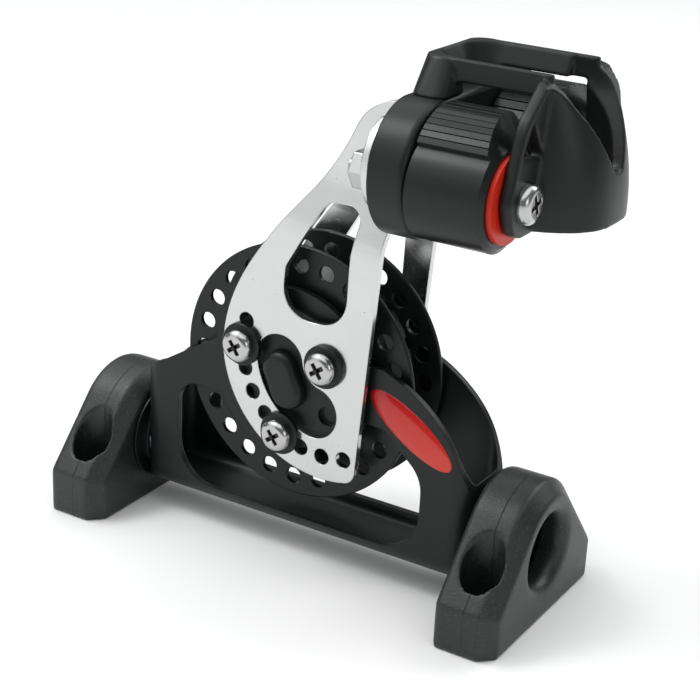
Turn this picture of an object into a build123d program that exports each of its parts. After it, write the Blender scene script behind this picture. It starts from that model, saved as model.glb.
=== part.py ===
from build123d import *
from math import atan2, cos, degrees, radians, sin, sqrt
import os

# Pivoting ratchet lead block with a cam cleat on an angle-adjustable arm.
# Millimetres. +X runs along the block from the left foot to the right foot,
# +Z is up, and -Y is the side that carries the label and the ratchet switch.
# The origin is on the deck, midway between the four deck bolts.

os.makedirs("parts", exist_ok=True)

# ---- clearances, shared by everything that fits ----
run_gap = 0.05          # radial gap of every running fit
hole_gap = 0.05         # radial gap of a screw in its hole
side_gap = 0.3          # gap between faces that slide past each other

# ---- feet and cradle pivot ----
foot_outer_x = 56.5     # outer end face of each foot
foot_width = 13.4       # foot size along X
foot_crown_r = 15.0     # radius of the rounded top, about the bore axis
foot_wall_z = 10.0      # height of the upright lower wall
foot_slope = 49.0       # slope of the flanks, degrees
foot_chamfer = 3.2
pivot_z = 15.0          # height of the cradle's pivot axis and the rope bore
rope_bore_r = 7.6
bore_flare_r = 3.0      # rounding of the bore's outer mouth
bolt_y = 17.0           # deck bolt centres, either side of the pivot axis
bolt_hole_r = 2.75
bolt_seat_r = 4.3
bolt_seat_z = 6.0       # the bolt head sits on this floor
trunnion_r = 8.6
trunnion_bore_r = 7.2
trunnion_depth = 7.4    # how far the trunnion socket goes into the foot
collar_r = 11.0         # thrust washer between the cradle and a foot
thrust_washer_t = 0.5

# ---- cradle ----
wall = 1.5
cradle_drop = 9.2       # underside of the trough, below the pivot axis
cradle_corner_r = 4.0
cradle_plan_r = 5.0
shoulder_run = 6.0      # from the cradle's end to its shoulder
shoulder_z = 36.8
end_top_z = 28.5
saddle_x = 20.0
saddle_z = 47.0
round_from_z = 20.0     # the right shoulder is round from here up
left_post = 10.3        # width of the wall between the window and the cradle's end
right_post = 11.9
window_rise = 3.4       # window's lower edge above the trough's underside
window_left_top_z = 33.5
window_right_top_z = 36.0
window_right_run = 9.6  # how far the window's right upper side slopes in
window_right_side_z = 27.5
window_corner_r = 10.0

# ---- sheave and ratchet, about an axis parallel to Y ----
axis_x = -2.4
axis_z = 41.8
flange_r = 28.5
flange_t = 1.0
groove_half = 5.4       # half the width between the two flanges
sheave_gap = 1.0        # between a flange and the cradle's wall
flange_bore_r = 16.2
rim_hole_r = 1.85
rim_hole_circle = 24.3
rim_holes = 24
tread_edge_r = 22.0
tread_mid_r = 19.0
grip_ribs = 16
ratchet_teeth = 24
ratchet_tip_r = 14.2
ratchet_root_r = 15.6
ratchet_split_y = -1.2  # the ratchet ring lies in front of this, the ball race behind
race_r = 12.4
hub_r = 10.0
ratchet_hub_r = 6.4
switch_shaft_r = 3.4
ball_r = (ratchet_root_r - race_r) / 2 - run_gap
balls_in_row = 20
pawl_circle = 10.3
pawl_pin_r = 1.1
pawl_t = 3.0

# ---- cheeks, screws and arm ----
cheek_r = 15.7
wall_hub_r = 19.7       # round hub of each cradle wall, behind the cheek
cheek_t = 1.5
screw_circle = 11.9
screw_angles = (30, 150, 270)
spare_angles = (90, 210, 330)
cheek_screw_r = 1.75
cheek_head_r = 3.5
cheek_head_t = 2.3
cheek_washer_r = 4.7
cheek_washer_t = 1.2
sheet_t = 1.5
arm_lean = 5.5          # lean of the arm's two cross bends, degrees
arm_arc_r = 25.8
index_first = 165
index_step = 15
index_count = 9
slot_circle = 11.4
slot_from = 187.6
slot_to = 257.4
slot_half = 5.75
web_face_y = 8.6        # outer face of the arm's upper web
bend_low_z = 76.0
bend_high_z = 86.0
bend_x = 8.0            # where the two bend heights are measured
bend_r = 20.0

# ---- cam cleat, on axes parallel to X ----
cleat_z = 93.6          # height of the two cam axes
cam_y = 19.0            # half the spacing of the cleat's two screws
cleat_back_x = 25.3
base_t = 7.7
base_end_r = 13.4
base_end_inset = 3.7    # centre of the base's round end, inboard of the cleat screw
base_rise = 1.3         # the base reaches this much further above the cam axes than below
cam_gap = 0.55          # between the base and a cam
cam_len = 15.75
cam_back_r = 10.4
cam_tip_rise = 5.37     # height of a cam's tip above its axis
cam_half_gap = 0.15     # each cam's tip to the middle plane
cam_teeth = 17
tooth_from = 126.0      # angle of the first tooth, about the cam's axis
tooth_depth = 0.7
tooth_base_r = 11.2
cam_nose_r = 9.2        # the cam's outboard end is turned to a cone of this end radius
cam_nose_slope = 1.5
cam_bore_r = 7.5
cam_race_r = 5.0
cam_ball_r = (cam_bore_r - cam_race_r) / 2 - run_gap
cam_balls_in_row = 14
cap_r = 8.4
cap_t = 1.0
cleat_screw_r = 2.0
cleat_head_r = 3.9
cleat_head_t = 2.4
nut_across_flats = 7.0
nut_t = 5.0
washer_t = 1.0

# ---- fairlead ----
lead_flange_t = 2.5
lead_boss_r = 6.0
eye_half_y = 7.2        # half the width of the rope eye
eye_ring_t = 3.6        # width of the ring round the eye
eye_ring_tall = 4.3
eye_corner_r = 6.5
lead_top = 21.8         # heights above the cam axes
lead_bottom = -6.5
lead_wall = 2.4
eye_lip = 2.3           # how much wider the eye is at its top than at its throat

# ---- worked out from the above ----
foot_inner_x = foot_outer_x - foot_width
bolt_x = foot_outer_x - foot_width / 2
cradle_end_x = foot_inner_x - thrust_washer_t - side_gap  # outer end face of the cradle
cradle_half_y = groove_half + flange_t + sheave_gap + wall  # outer face of each wall
cradle_bottom_z = pivot_z - cradle_drop
shoulder_x = cradle_end_x - shoulder_run
window_left_x = left_post - cradle_end_x
window_right_x = cradle_end_x - right_post
window_bottom_z = cradle_bottom_z + window_rise
slope_sin = sin(radians(foot_slope))
slope_cos = cos(radians(foot_slope))
foot_half_y = (foot_crown_r - (foot_wall_z - pivot_z) * slope_cos) / slope_sin
cradle_inner_y = cradle_half_y - wall
floor_z = cradle_bottom_z + wall
index_circle = screw_circle * sqrt(3)  # from one cheek screw to the next
cheek_face_y = cradle_half_y + cheek_t
arm_face_y = cheek_face_y + sheet_t
washer_face_y = arm_face_y + cheek_washer_t
base_end_y = cam_y - base_end_inset
cam_tip_r = sqrt((cam_y - cam_half_gap) ** 2 + cam_tip_rise**2)
base_front_x = cleat_back_x + base_t
cam_start_x = base_front_x + cam_gap
cam_end_x = cam_start_x + cam_len
cap_end_x = cam_end_x + cap_t
lead_back_x = cap_end_x + side_gap / 2
lead_face_x = lead_back_x + lead_flange_t
pivot_screw = Vector(
    axis_x + screw_circle * cos(radians(screw_angles[0])),
    0,
    axis_z + screw_circle * sin(radians(screw_angles[0])),
)

# A plane whose local x is +X, local y is +Z and whose normal is -Y.
side = Plane.XZ


def polar(radius, angle, centre=(0.0, 0.0)):
    return (
        centre[0] + radius * cos(radians(angle)),
        centre[1] + radius * sin(radians(angle)),
    )


def finish(solid, label):
    solid.label = label
    export_step(solid, f"parts/{label}.step")


# ======================================================================
# Feet: moulded blocks, each with a flared rope bore and two deck bolts
# ======================================================================
def foot_profile(plane):
    # the end view of a foot, carried below the deck so that its tapered end can be cut level
    crown_y = foot_crown_r * slope_sin
    crown_z = pivot_z + foot_crown_r * slope_cos
    with BuildSketch(plane) as profile:
        with BuildLine():
            Polyline(
                (-crown_y, crown_z),
                (-foot_half_y, foot_wall_z),
                (-foot_half_y, -2 * foot_chamfer),
                (foot_half_y, -2 * foot_chamfer),
                (foot_half_y, foot_wall_z),
                (crown_y, crown_z),
            )
            ThreePointArc((crown_y, crown_z), (0, pivot_z + foot_crown_r), (-crown_y, crown_z))
        make_face()
    return profile.sketch


def make_foot(sign, label):
    # both feet are one moulding, set the same way round: the bevelled end looks to +X on each
    low_x = min(sign * foot_inner_x, sign * foot_outer_x)
    high_x = low_x + foot_width
    with BuildPart() as foot:
        extrude(foot_profile(Plane.YZ.offset(low_x)), amount=foot_width - foot_chamfer)
        extrude(foot_profile(Plane.YZ.offset(high_x - foot_chamfer)), amount=foot_chamfer, taper=45)
        split(bisect_by=Plane.XY, keep=Keep.TOP)
        plain_end = foot.faces().sort_by(Axis.X)[0]
        fillet(plain_end.edges().filter_by(lambda e: e.center().Z > 0.1), radius=1.4)
        with BuildSketch(Plane.YZ):
            with Locations((0, pivot_z)):
                Circle(rope_bore_r)
        extrude(amount=sign * (foot_outer_x + 1), mode=Mode.SUBTRACT)
        mouths = foot.edges().filter_by(GeomType.CIRCLE).filter_by(
            lambda e: abs(e.radius - rope_bore_r) < 0.01
        )
        fillet(mouths.sort_by(Axis.X)[-1 if sign > 0 else 0], radius=bore_flare_r)
        with BuildSketch(Plane.YZ.offset(sign * foot_inner_x)):
            with Locations((0, pivot_z)):
                Circle(trunnion_r + run_gap)
        extrude(amount=sign * trunnion_depth, mode=Mode.SUBTRACT)
        with BuildSketch(Plane.XY):
            with Locations((sign * bolt_x, -bolt_y), (sign * bolt_x, bolt_y)):
                Circle(bolt_hole_r)
        extrude(amount=2 * foot_crown_r + pivot_z, mode=Mode.SUBTRACT)
        with BuildSketch(Plane.XY.offset(bolt_seat_z)):
            with Locations((sign * bolt_x, -bolt_y), (sign * bolt_x, bolt_y)):
                Circle(bolt_seat_r)
        extrude(amount=2 * foot_crown_r + pivot_z, mode=Mode.SUBTRACT)
    finish(foot.part, label)


make_foot(-1, "foot_left")
make_foot(1, "foot_right")


# ======================================================================
# Trunnions: flanged liner tubes that the cradle turns on
# ======================================================================
def make_trunnion(sign, label):
    # the tube runs from the inner face of the cradle's end wall into the foot
    start_x = cradle_end_x - wall
    liner_end = foot_inner_x + trunnion_depth - side_gap
    with BuildPart() as trunnion:
        with BuildSketch(Plane.YZ.offset(sign * start_x)):
            with Locations((0, pivot_z)):
                Circle(trunnion_r)
                Circle(trunnion_bore_r, mode=Mode.SUBTRACT)
        extrude(amount=sign * (liner_end - start_x))
        throat = trunnion.edges().filter_by(GeomType.CIRCLE).filter_by(
            lambda e: abs(e.radius - trunnion_bore_r) < 0.01
        )
        fillet(throat.sort_by(Axis.X)[0 if sign > 0 else -1], radius=0.9)
    finish(trunnion.part, label)


make_trunnion(-1, "trunnion_left")
make_trunnion(1, "trunnion_right")


def make_thrust_washer(sign, label):
    with BuildPart() as washer:
        with BuildSketch(Plane.YZ.offset(sign * cradle_end_x)):
            with Locations((0, pivot_z)):
                Circle(collar_r)
                Circle(trunnion_r, mode=Mode.SUBTRACT)
        extrude(amount=sign * (foot_inner_x - cradle_end_x - side_gap))
    finish(washer.part, label)


# the washers lie round the trunnions, between the cradle and the feet
make_thrust_washer(-1, "thrust_washer_left")
make_thrust_washer(1, "thrust_washer_right")

# ======================================================================
# Cradle: a U-shaped trough with a round hub and a window in each wall
# ======================================================================
def trough(inset, top):
    # a block with the trough's rounded plan and rounded keel, drawn in by inset all round
    with BuildPart() as block:
        with BuildSketch(Plane.XY.offset(cradle_bottom_z + inset)):
            RectangleRounded(
                2 * (cradle_end_x - inset), 2 * (cradle_half_y - inset), cradle_plan_r - inset
            )
        extrude(amount=top)
        with BuildSketch(Plane.YZ):
            with BuildLine():
                FilletPolyline(
                    (-cradle_half_y + inset, top),
                    (-cradle_half_y + inset, cradle_bottom_z + inset),
                    (cradle_half_y - inset, cradle_bottom_z + inset),
                    (cradle_half_y - inset, top),
                    radius=cradle_corner_r - inset,
                )
                Line((cradle_half_y - inset, top), (-cradle_half_y + inset, top))
            make_face()
        extrude(amount=cradle_end_x, both=True, mode=Mode.INTERSECT)
    return block.part


with BuildPart() as cradle:
    with BuildSketch(side):
        with BuildLine():
            # straight shoulder on the left, a long round one on the right
            Polyline(
                (saddle_x, saddle_z + 2),
                (-saddle_x, saddle_z),
                (-shoulder_x, shoulder_z),
            )
            TangentArc((-cradle_end_x, end_top_z), (-shoulder_x, shoulder_z), tangent=(0, 1))
            Polyline(
                (-cradle_end_x, end_top_z),
                (-cradle_end_x, 0),
                (cradle_end_x, 0),
                (cradle_end_x, round_from_z),
            )
            Spline(
                (cradle_end_x, round_from_z),
                (cradle_end_x - 2.6, 30.1),
                (cradle_end_x - 6.6, 37.8),
                (cradle_end_x - 13.4, 44.4),
                (saddle_x, saddle_z + 2),
                tangents=((0, 1), (-1, 0.42)),
            )
        make_face()
        with Locations((axis_x, axis_z)):
            Circle(wall_hub_r)
    extrude(amount=cradle_half_y, both=True)
    add(trough(0, axis_z + wall_hub_r), mode=Mode.INTERSECT)
    add(trough(wall, axis_z + wall_hub_r + 1), mode=Mode.SUBTRACT)
    # the side windows
    with BuildSketch(side.offset(-cradle_half_y - 1)):
        with BuildLine():
            FilletPolyline(
                (window_left_x, window_bottom_z),
                (window_right_x, window_bottom_z),
                (window_right_x, window_right_side_z),
                (window_right_x - window_right_run, window_right_top_z),
                (axis_x + hub_r, window_right_top_z),
                (axis_x - hub_r, window_left_top_z),
                (window_left_x, window_left_top_z),
                radius=(window_corner_r, window_corner_r, 8, 3, 0.5, 0.5, 5.5),
                close=True,
            )
        make_face()
        with Locations((axis_x, axis_z)):
            Circle(wall_hub_r, mode=Mode.SUBTRACT)
    extrude(amount=2 * cradle_half_y + 2, mode=Mode.SUBTRACT)
    # the pivot holes in the two end walls
    for end_x in (-cradle_end_x, cradle_end_x - wall):
        with BuildSketch(Plane.YZ.offset(end_x)):
            with Locations((0, pivot_z)):
                Circle(trunnion_r)
        extrude(amount=wall, mode=Mode.SUBTRACT)
    # the hub's screw holes and the hole for the hub boss
    with BuildSketch(side.offset(-cradle_half_y - 1)):
        with Locations((axis_x, axis_z)):
            Circle(switch_shaft_r + 1.5)
            with PolarLocations(screw_circle, 3, start_angle=screw_angles[0]):
                Circle(cheek_screw_r + hole_gap)
    extrude(amount=2 * cradle_half_y + 2, mode=Mode.SUBTRACT)
finish(cradle.part, "cradle")

# domed oval badge, plain, on the right shoulder of the front wall
badge_x = 27.2
badge_z = 37.5
badge_len = 23.2
badge_wide = 7.5
badge_tilt = -33.0
badge_t = 0.9
with BuildPart() as badge:
    with BuildSketch(side.offset(cradle_half_y)):
        with Locations((badge_x, badge_z)):
            Ellipse(badge_len / 2, badge_wide / 2, rotation=badge_tilt)
    extrude(amount=badge_t)
    rim = badge.faces().sort_by(Axis.Y)[0].edges()
    fillet(rim, radius=badge_t * 0.7)
finish(badge.part, "badge")


# ======================================================================
# Sheave: a grooved core between two perforated flanges, on two rows of balls
# ======================================================================
with BuildPart() as core:
    with BuildSketch(Plane.XY):
        with BuildLine():
            Polyline(
                (ratchet_root_r, -groove_half),
                (tread_edge_r, -groove_half),
                (tread_edge_r, -groove_half + 0.8),
                (tread_mid_r, -1.2),
                (tread_mid_r, 1.2),
                (tread_edge_r, groove_half - 0.8),
                (tread_edge_r, groove_half),
                (ratchet_root_r, groove_half),
                close=True,
            )
        make_face()
    revolve(axis=Axis.Y)
    # shallow grip ribs across the tread
    rib_depth = 0.8
    with BuildSketch(side.offset(-groove_half)):
        with PolarLocations(tread_edge_r + rib_depth, grip_ribs):
            Circle(2 * rib_depth)
    extrude(amount=2 * groove_half, mode=Mode.SUBTRACT)
    # the ratchet ring: a row of sloping teeth inside the front half
    with BuildSketch(side.offset(-ratchet_split_y)):
        Circle(ratchet_root_r + 0.2)
        Circle(ratchet_tip_r, mode=Mode.SUBTRACT)
        pitch = 360 / ratchet_teeth
        for i in range(ratchet_teeth):
            with BuildLine():
                Polyline(
                    polar(ratchet_tip_r - 0.5, i * pitch),
                    polar(ratchet_root_r, i * pitch),
                    polar(ratchet_tip_r - 0.5, (i + 0.75) * pitch),
                    close=True,
                )
            make_face(mode=Mode.SUBTRACT)
    extrude(amount=groove_half + ratchet_split_y)
sheave_place = Location((axis_x, 0, axis_z))
finish(sheave_place * core.part, "sheave_core")


def make_flange(sign, label):
    with BuildPart() as flange:
        with BuildSketch(side.offset(-sign * groove_half)):
            with Locations((axis_x, axis_z)):
                Circle(flange_r)
                Circle(flange_bore_r, mode=Mode.SUBTRACT)
                with PolarLocations(rim_hole_circle, rim_holes):
                    Circle(rim_hole_r, mode=Mode.SUBTRACT)
        extrude(amount=-sign * flange_t)
        rims = flange.edges().filter_by(GeomType.CIRCLE).filter_by(
            lambda e: abs(e.radius - flange_r) < 0.01
        )
        fillet(rims, radius=flange_t * 0.35)
    finish(flange.part, label)


make_flange(-1, "sheave_flange_front")
make_flange(1, "sheave_flange_rear")

# balls between the fixed race and the sheave's bore
ball_circle = (race_r + ratchet_root_r) / 2
with BuildPart() as balls:
    for row_y in (0.7, 4.0):
        with Locations(Plane(origin=(axis_x, row_y, axis_z), x_dir=(1, 0, 0), z_dir=(0, -1, 0))):
            with PolarLocations(ball_circle, balls_in_row):
                Sphere(ball_r)
finish(balls.part, "sheave_balls")

with BuildPart() as race:
    with BuildSketch(side.offset(-cradle_inner_y)):
        with Locations((axis_x, axis_z)):
            Circle(race_r)
            Circle(hub_r, mode=Mode.SUBTRACT)
    extrude(amount=cradle_inner_y - ratchet_split_y - 0.2)
finish(race.part, "bearing_race")

# ======================================================================
# Ratchet hub: fixed axle, pawl plate, two pawls on pins, and the switch
# ======================================================================
with BuildPart() as hub:
    with BuildSketch(side.offset(-cradle_inner_y)):
        with Locations((axis_x, axis_z)):
            Circle(hub_r)
            Circle(switch_shaft_r + run_gap, mode=Mode.SUBTRACT)
    extrude(amount=cradle_inner_y - ratchet_split_y)
    with BuildSketch(side.offset(-ratchet_split_y)):
        with Locations((axis_x, axis_z)):
            Circle(ratchet_hub_r)
            Circle(switch_shaft_r + run_gap, mode=Mode.SUBTRACT)
    extrude(amount=cradle_inner_y + ratchet_split_y)
finish(hub.part, "axle_hub")

pawl_plate_t = 0.8
pawl_angles = (0, 180)
with BuildPart() as pawl_plate:
    with BuildSketch(side.offset(cradle_inner_y)):
        with Locations((axis_x, axis_z)):
            Circle(flange_bore_r - side_gap * 2)
            Circle(ratchet_hub_r, mode=Mode.SUBTRACT)
            with PolarLocations(screw_circle, 3, start_angle=screw_angles[0]):
                Circle(cheek_screw_r + hole_gap, mode=Mode.SUBTRACT)
            with PolarLocations(pawl_circle, 2, start_angle=pawl_angles[0]):
                Circle(pawl_pin_r, mode=Mode.SUBTRACT)
    extrude(amount=-pawl_plate_t)
finish(pawl_plate.part, "pawl_plate")

with BuildPart() as pawl_pins:
    with BuildSketch(side.offset(cradle_inner_y)):
        with Locations((axis_x, axis_z)):
            with PolarLocations(pawl_circle, 2, start_angle=pawl_angles[0]):
                Circle(pawl_pin_r)
    extrude(amount=-(cradle_inner_y + ratchet_split_y))
finish(pawl_pins.part, "pawl_pins")


def make_pawl(angle, label):
    eye = polar(pawl_circle, angle)
    toe_low = polar(ratchet_tip_r - 1.0, angle - 25)
    toe_tip = polar(ratchet_root_r - 0.85, angle - 26.3)
    toe_back = polar(ratchet_tip_r - 1.2, angle - 19.5)
    with BuildPart() as pawl:
        with BuildSketch(side.offset(-ratchet_split_y + 0.4)):
            with Locations(eye):
                Circle(pawl_pin_r + 1.1)
            with BuildLine():
                Polyline(
                    polar(pawl_circle - 1.6, angle - 3),
                    toe_low,
                    toe_tip,
                    toe_back,
                    polar(pawl_circle + 1.9, angle + 1),
                    close=True,
                )
            make_face()
            with Locations(eye):
                Circle(pawl_pin_r + run_gap, mode=Mode.SUBTRACT)
        extrude(amount=pawl_t)
    finish(sheave_place * pawl.part, label)


make_pawl(pawl_angles[0], "pawl_right")
make_pawl(pawl_angles[1], "pawl_left")

# a small coil round each pawl pin, in front of the pawl
coil_wire_r = 0.2
coil_tall = 1.3
pawl_coil = Helix(pitch=0.5, height=coil_tall, radius=pawl_pin_r + 2 * coil_wire_r, center=(0, 0, 0))
with BuildPart() as coil_shape:
    with BuildLine():
        add(pawl_coil)
    with BuildSketch(Plane(origin=pawl_coil @ 0, z_dir=pawl_coil % 0)):
        Circle(coil_wire_r)
    sweep(is_frenet=True)
with BuildPart() as pawl_springs:
    with Locations(side.offset(cradle_inner_y - pawl_plate_t - coil_wire_r - coil_tall)):
        with Locations((axis_x, axis_z)):
            with PolarLocations(pawl_circle, 2, start_angle=pawl_angles[0]):
                add(coil_shape.part)
finish(pawl_springs.part, "pawl_springs")

# rotary switch: an oval knob in the middle of the front cheek
knob_len = 13.0
knob_wide = 8.0
knob_t = 2.4
knob_angle = -66.0
with BuildPart() as switch:
    with BuildSketch(side.offset(cheek_face_y + side_gap)):
        with Locations((axis_x, axis_z)):
            SlotOverall(knob_len, knob_wide, rotation=knob_angle)
    extrude(amount=knob_t)
    top = switch.faces().sort_by(Axis.Y)[0].edges()
    fillet(top, radius=1.6)
    with BuildSketch(side.offset(cheek_face_y + side_gap)):
        with Locations((axis_x, axis_z)):
            Circle(switch_shaft_r)
    extrude(amount=-(cheek_face_y + side_gap + cradle_inner_y - 1.0))
finish(switch.part, "ratchet_switch")


# ======================================================================
# Cheeks: moulded pads outside the cradle's hub, under the arm
# ======================================================================
def make_cheek(sign, label):
    face = side.offset(-sign * cradle_half_y)
    with BuildPart() as cheek:
        with BuildSketch(face):
            with Locations((axis_x, axis_z)):
                Circle(cheek_r)
        extrude(amount=-sign * cheek_t)
        rim = cheek.faces().sort_by(Axis.Y)[0 if sign < 0 else -1].edges()
        fillet(rim, radius=0.6)
        with BuildSketch(side.offset(-sign * cheek_face_y)):
            with Locations((axis_x, axis_z)):
                with PolarLocations(screw_circle, 3, start_angle=spare_angles[0]):
                    Circle(cheek_screw_r + 0.4)
        extrude(amount=sign * (cheek_t - 0.4), mode=Mode.SUBTRACT)
        with BuildSketch(side.offset(-sign * cradle_half_y)):
            with Locations((axis_x, axis_z)):
                with PolarLocations(screw_circle, 3, start_angle=screw_angles[0]):
                    Circle(cheek_screw_r + hole_gap)
                Circle(switch_shaft_r + run_gap)
        extrude(amount=-sign * cheek_t, mode=Mode.SUBTRACT)
    finish(cheek.part, label)


make_cheek(-1, "cheek_front")
make_cheek(1, "cheek_rear")


# ======================================================================
# Arm: two bent stainless legs that carry the cleat
# ======================================================================
def arm_outline():
    # the leg seen from the side, from its round foot up to the head's flange
    px, pz = pivot_screw.X, pivot_screw.Z
    head_x = cleat_back_x + 0.7
    neck = (head_x - 16.4, cleat_z + 2.4)
    foot_left = polar(arm_arc_r, 184, (px, pz))
    foot_low = polar(arm_arc_r, 288, (px, pz))
    foot_mid = polar(arm_arc_r, 236, (px, pz))
    with BuildSketch(side) as outline:
        with BuildLine():
            ThreePointArc(foot_left, foot_mid, foot_low)
            Polyline(
                foot_low,
                (head_x - 6.4, cleat_z - 18.6),
                (head_x - 5.0, cleat_z - 9.1),
                (head_x, cleat_z - 6.6),
                (head_x, cleat_z + 11.4),
            )
            Spline(
                (head_x, cleat_z + 11.4),
                (head_x - 8.7, cleat_z + 10.7),
                (head_x - 13.1, cleat_z + 8.0),
                neck,
                tangents=((-1, 0), (-0.5, -1)),
            )
            Spline(neck, (-3.6, 77.2), (-15.6, 58.0), foot_left)
        make_face()
        fillet(outline.vertices().sort_by_distance((foot_low[0], 0, foot_low[1]))[0], radius=3.0)
        # window between the leg's two ribs
        eye_x, eye_z, eye_r = 4.2, 63.8, 7.7
        with BuildLine():
            FilletPolyline(
                (eye_x - 6.9, eye_z + 3.4),
                (6.0, 82.3),
                (14.2, 82.3),
                (12.6, 72.0),
                (12.2, 56.5),
                (-3.5, 56.5),
                radius=(3, 3, 3, 40, 6.5, 6.5),
                close=True,
            )
        make_face(mode=Mode.SUBTRACT)
        # index holes for the screws that set the arm's angle
        for i in range(index_count):
            with Locations(polar(index_circle, index_first + i * index_step, (px, pz))):
                Circle(cheek_screw_r + hole_gap, mode=Mode.SUBTRACT)
        with Locations((px, pz)):
            Circle(cheek_screw_r + hole_gap, mode=Mode.SUBTRACT)
        # curved slot that clears the ratchet switch
        slot_mid = (slot_from + slot_to) / 2
        near_r = slot_circle - slot_half
        far_r = slot_circle + slot_half
        first_end = polar(slot_circle, slot_from, (px, pz))
        last_end = polar(slot_circle, slot_to, (px, pz))
        near = [polar(near_r, a, (px, pz)) for a in (slot_from, slot_mid, slot_to)]
        far = [polar(far_r, a, (px, pz)) for a in (slot_to, slot_mid, slot_from)]
        with BuildLine():
            ThreePointArc(*near)
            ThreePointArc(near[-1], polar(slot_half, slot_to + 90, last_end), far[0])
            ThreePointArc(*far)
            ThreePointArc(far[-1], polar(slot_half, slot_from - 90, first_end), near[0])
        make_face(mode=Mode.SUBTRACT)
    return outline.sketch


def make_arm_front():
    lean = radians(arm_lean)
    across = Plane(origin=(bend_x, 0, bend_low_z), x_dir=(0, 1, 0), z_dir=(cos(lean), 0, -sin(lean)))
    rise = (bend_high_z - bend_low_z) * cos(lean)
    flange_back_x = cleat_back_x - sheet_t
    flange_low_z = cleat_z - 7.0
    flange_high_z = cleat_z + 11.9
    flange_mid_z = (flange_low_z + flange_high_z) / 2
    with BuildPart() as flange:
        with BuildSketch(Plane.XY.offset(flange_low_z)):
            with BuildLine():
                FilletPolyline(
                    (0, -web_face_y),
                    (flange_back_x, -web_face_y),
                    (flange_back_x, -2 * cam_y),
                    radius=1.5,
                )
                offset(amount=sheet_t, side=Side.LEFT)
            make_face()
        extrude(amount=flange_high_z - flange_low_z)
        with BuildSketch(Plane.YZ):
            with Locations((-cam_y / 2, flange_mid_z)):
                Rectangle(cam_y, flange_high_z - flange_low_z)
            with Locations((-cam_y, flange_mid_z)):
                Circle((flange_high_z - flange_low_z) / 2)
        extrude(amount=2 * cleat_back_x, mode=Mode.INTERSECT)
        with BuildSketch(Plane.YZ):
            with Locations((-cam_y, cleat_z)):
                Circle(cleat_screw_r + hole_gap)
        extrude(amount=2 * cleat_back_x, mode=Mode.SUBTRACT)
    with BuildPart() as arm:
        with BuildSketch(across.offset(-45)):
            with BuildLine():
                FilletPolyline(
                    (-arm_face_y, -70),
                    (-arm_face_y, 0),
                    (-web_face_y, rise),
                    (-web_face_y, 30),
                    radius=bend_r,
                )
                offset(amount=sheet_t, side=Side.RIGHT)
            make_face()
        extrude(amount=59.5)
        add(flange.part)
        extrude(arm_outline(), amount=3 * cam_y, mode=Mode.INTERSECT)
    return arm.part


arm_front = make_arm_front()
finish(arm_front, "arm_front")
finish(mirror(arm_front, about=Plane.XZ), "arm_rear")


# ======================================================================
# Cheek screws and washers, three to a side
# ======================================================================
def make_cheek_screws(sign, shank_end_y, label):
    head_face_y = washer_face_y + cheek_head_t
    with BuildPart() as screws:
        with BuildSketch(side.offset(-sign * washer_face_y)):
            with Locations((axis_x, axis_z)):
                with PolarLocations(screw_circle, 3, start_angle=screw_angles[0]):
                    Circle(cheek_head_r)
        extrude(amount=-sign * cheek_head_t)
        crowns = screws.edges().filter_by(GeomType.CIRCLE).filter_by(
            lambda e: abs(e.center().Y) > head_face_y - 0.01
        )
        fillet(crowns, radius=1.4)
        with BuildSketch(side.offset(-sign * head_face_y)):
            with Locations((axis_x, axis_z)):
                with PolarLocations(screw_circle, 3, start_angle=screw_angles[0], rotate=False):
                    Rectangle(3.6, 0.9, rotation=35)
                    Rectangle(3.6, 0.9, rotation=125)
        extrude(amount=sign * 1.3, mode=Mode.SUBTRACT)
        with BuildSketch(side.offset(-sign * washer_face_y)):
            with Locations((axis_x, axis_z)):
                with PolarLocations(screw_circle, 3, start_angle=screw_angles[0]):
                    Circle(cheek_screw_r)
        extrude(amount=sign * (washer_face_y - shank_end_y))
    finish(screws.part, label)


def make_cheek_washers(sign, label):
    with BuildPart() as washers:
        with BuildSketch(side.offset(-sign * arm_face_y)):
            with Locations((axis_x, axis_z)):
                with PolarLocations(screw_circle, 3, start_angle=screw_angles[0]):
                    Circle(cheek_washer_r)
                    Circle(cheek_screw_r + hole_gap, mode=Mode.SUBTRACT)
        extrude(amount=-sign * cheek_washer_t)
        rims = washers.edges().filter_by(GeomType.CIRCLE).filter_by(
            lambda e: abs(e.radius - cheek_washer_r) < 0.01 and abs(e.center().Y) > washer_face_y - 0.01
        )
        fillet(rims, radius=0.45)
    finish(washers.part, label)


make_cheek_screws(-1, cradle_inner_y - pawl_plate_t, "cheek_screws_front")
make_cheek_screws(1, cradle_inner_y, "cheek_screws_rear")
make_cheek_washers(-1, "cheek_washers_front")
make_cheek_washers(1, "cheek_washers_rear")

# ======================================================================
# Cleat: base, two cams on ball races, springs, caps, fairlead and screws
# ======================================================================
with BuildPart() as cleat_base:
    with BuildSketch(Plane.YZ.offset(cleat_back_x)):
        with Locations((0, cleat_z + base_rise)):
            SlotCenterToCenter(2 * base_end_y, 2 * base_end_r)
        with Locations((-cam_y, cleat_z), (cam_y, cleat_z)):
            Circle(cleat_screw_r + hole_gap, mode=Mode.SUBTRACT)
    extrude(amount=base_t)
    rim = cleat_base.faces().sort_by(Axis.X)[-1].outer_wire().edges()
    fillet(rim, radius=1.2)
finish(cleat_base.part, "cleat_base")

tip_angle = degrees(atan2(cam_tip_rise, cam_y - cam_half_gap))


def spiral_r(angle):
    # the toothed face moves out evenly from the back of the cam to its tip
    share = (tooth_from - angle) / (tooth_from - tip_angle)
    return tooth_base_r + (cam_tip_r - tooth_base_r) * share


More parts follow.
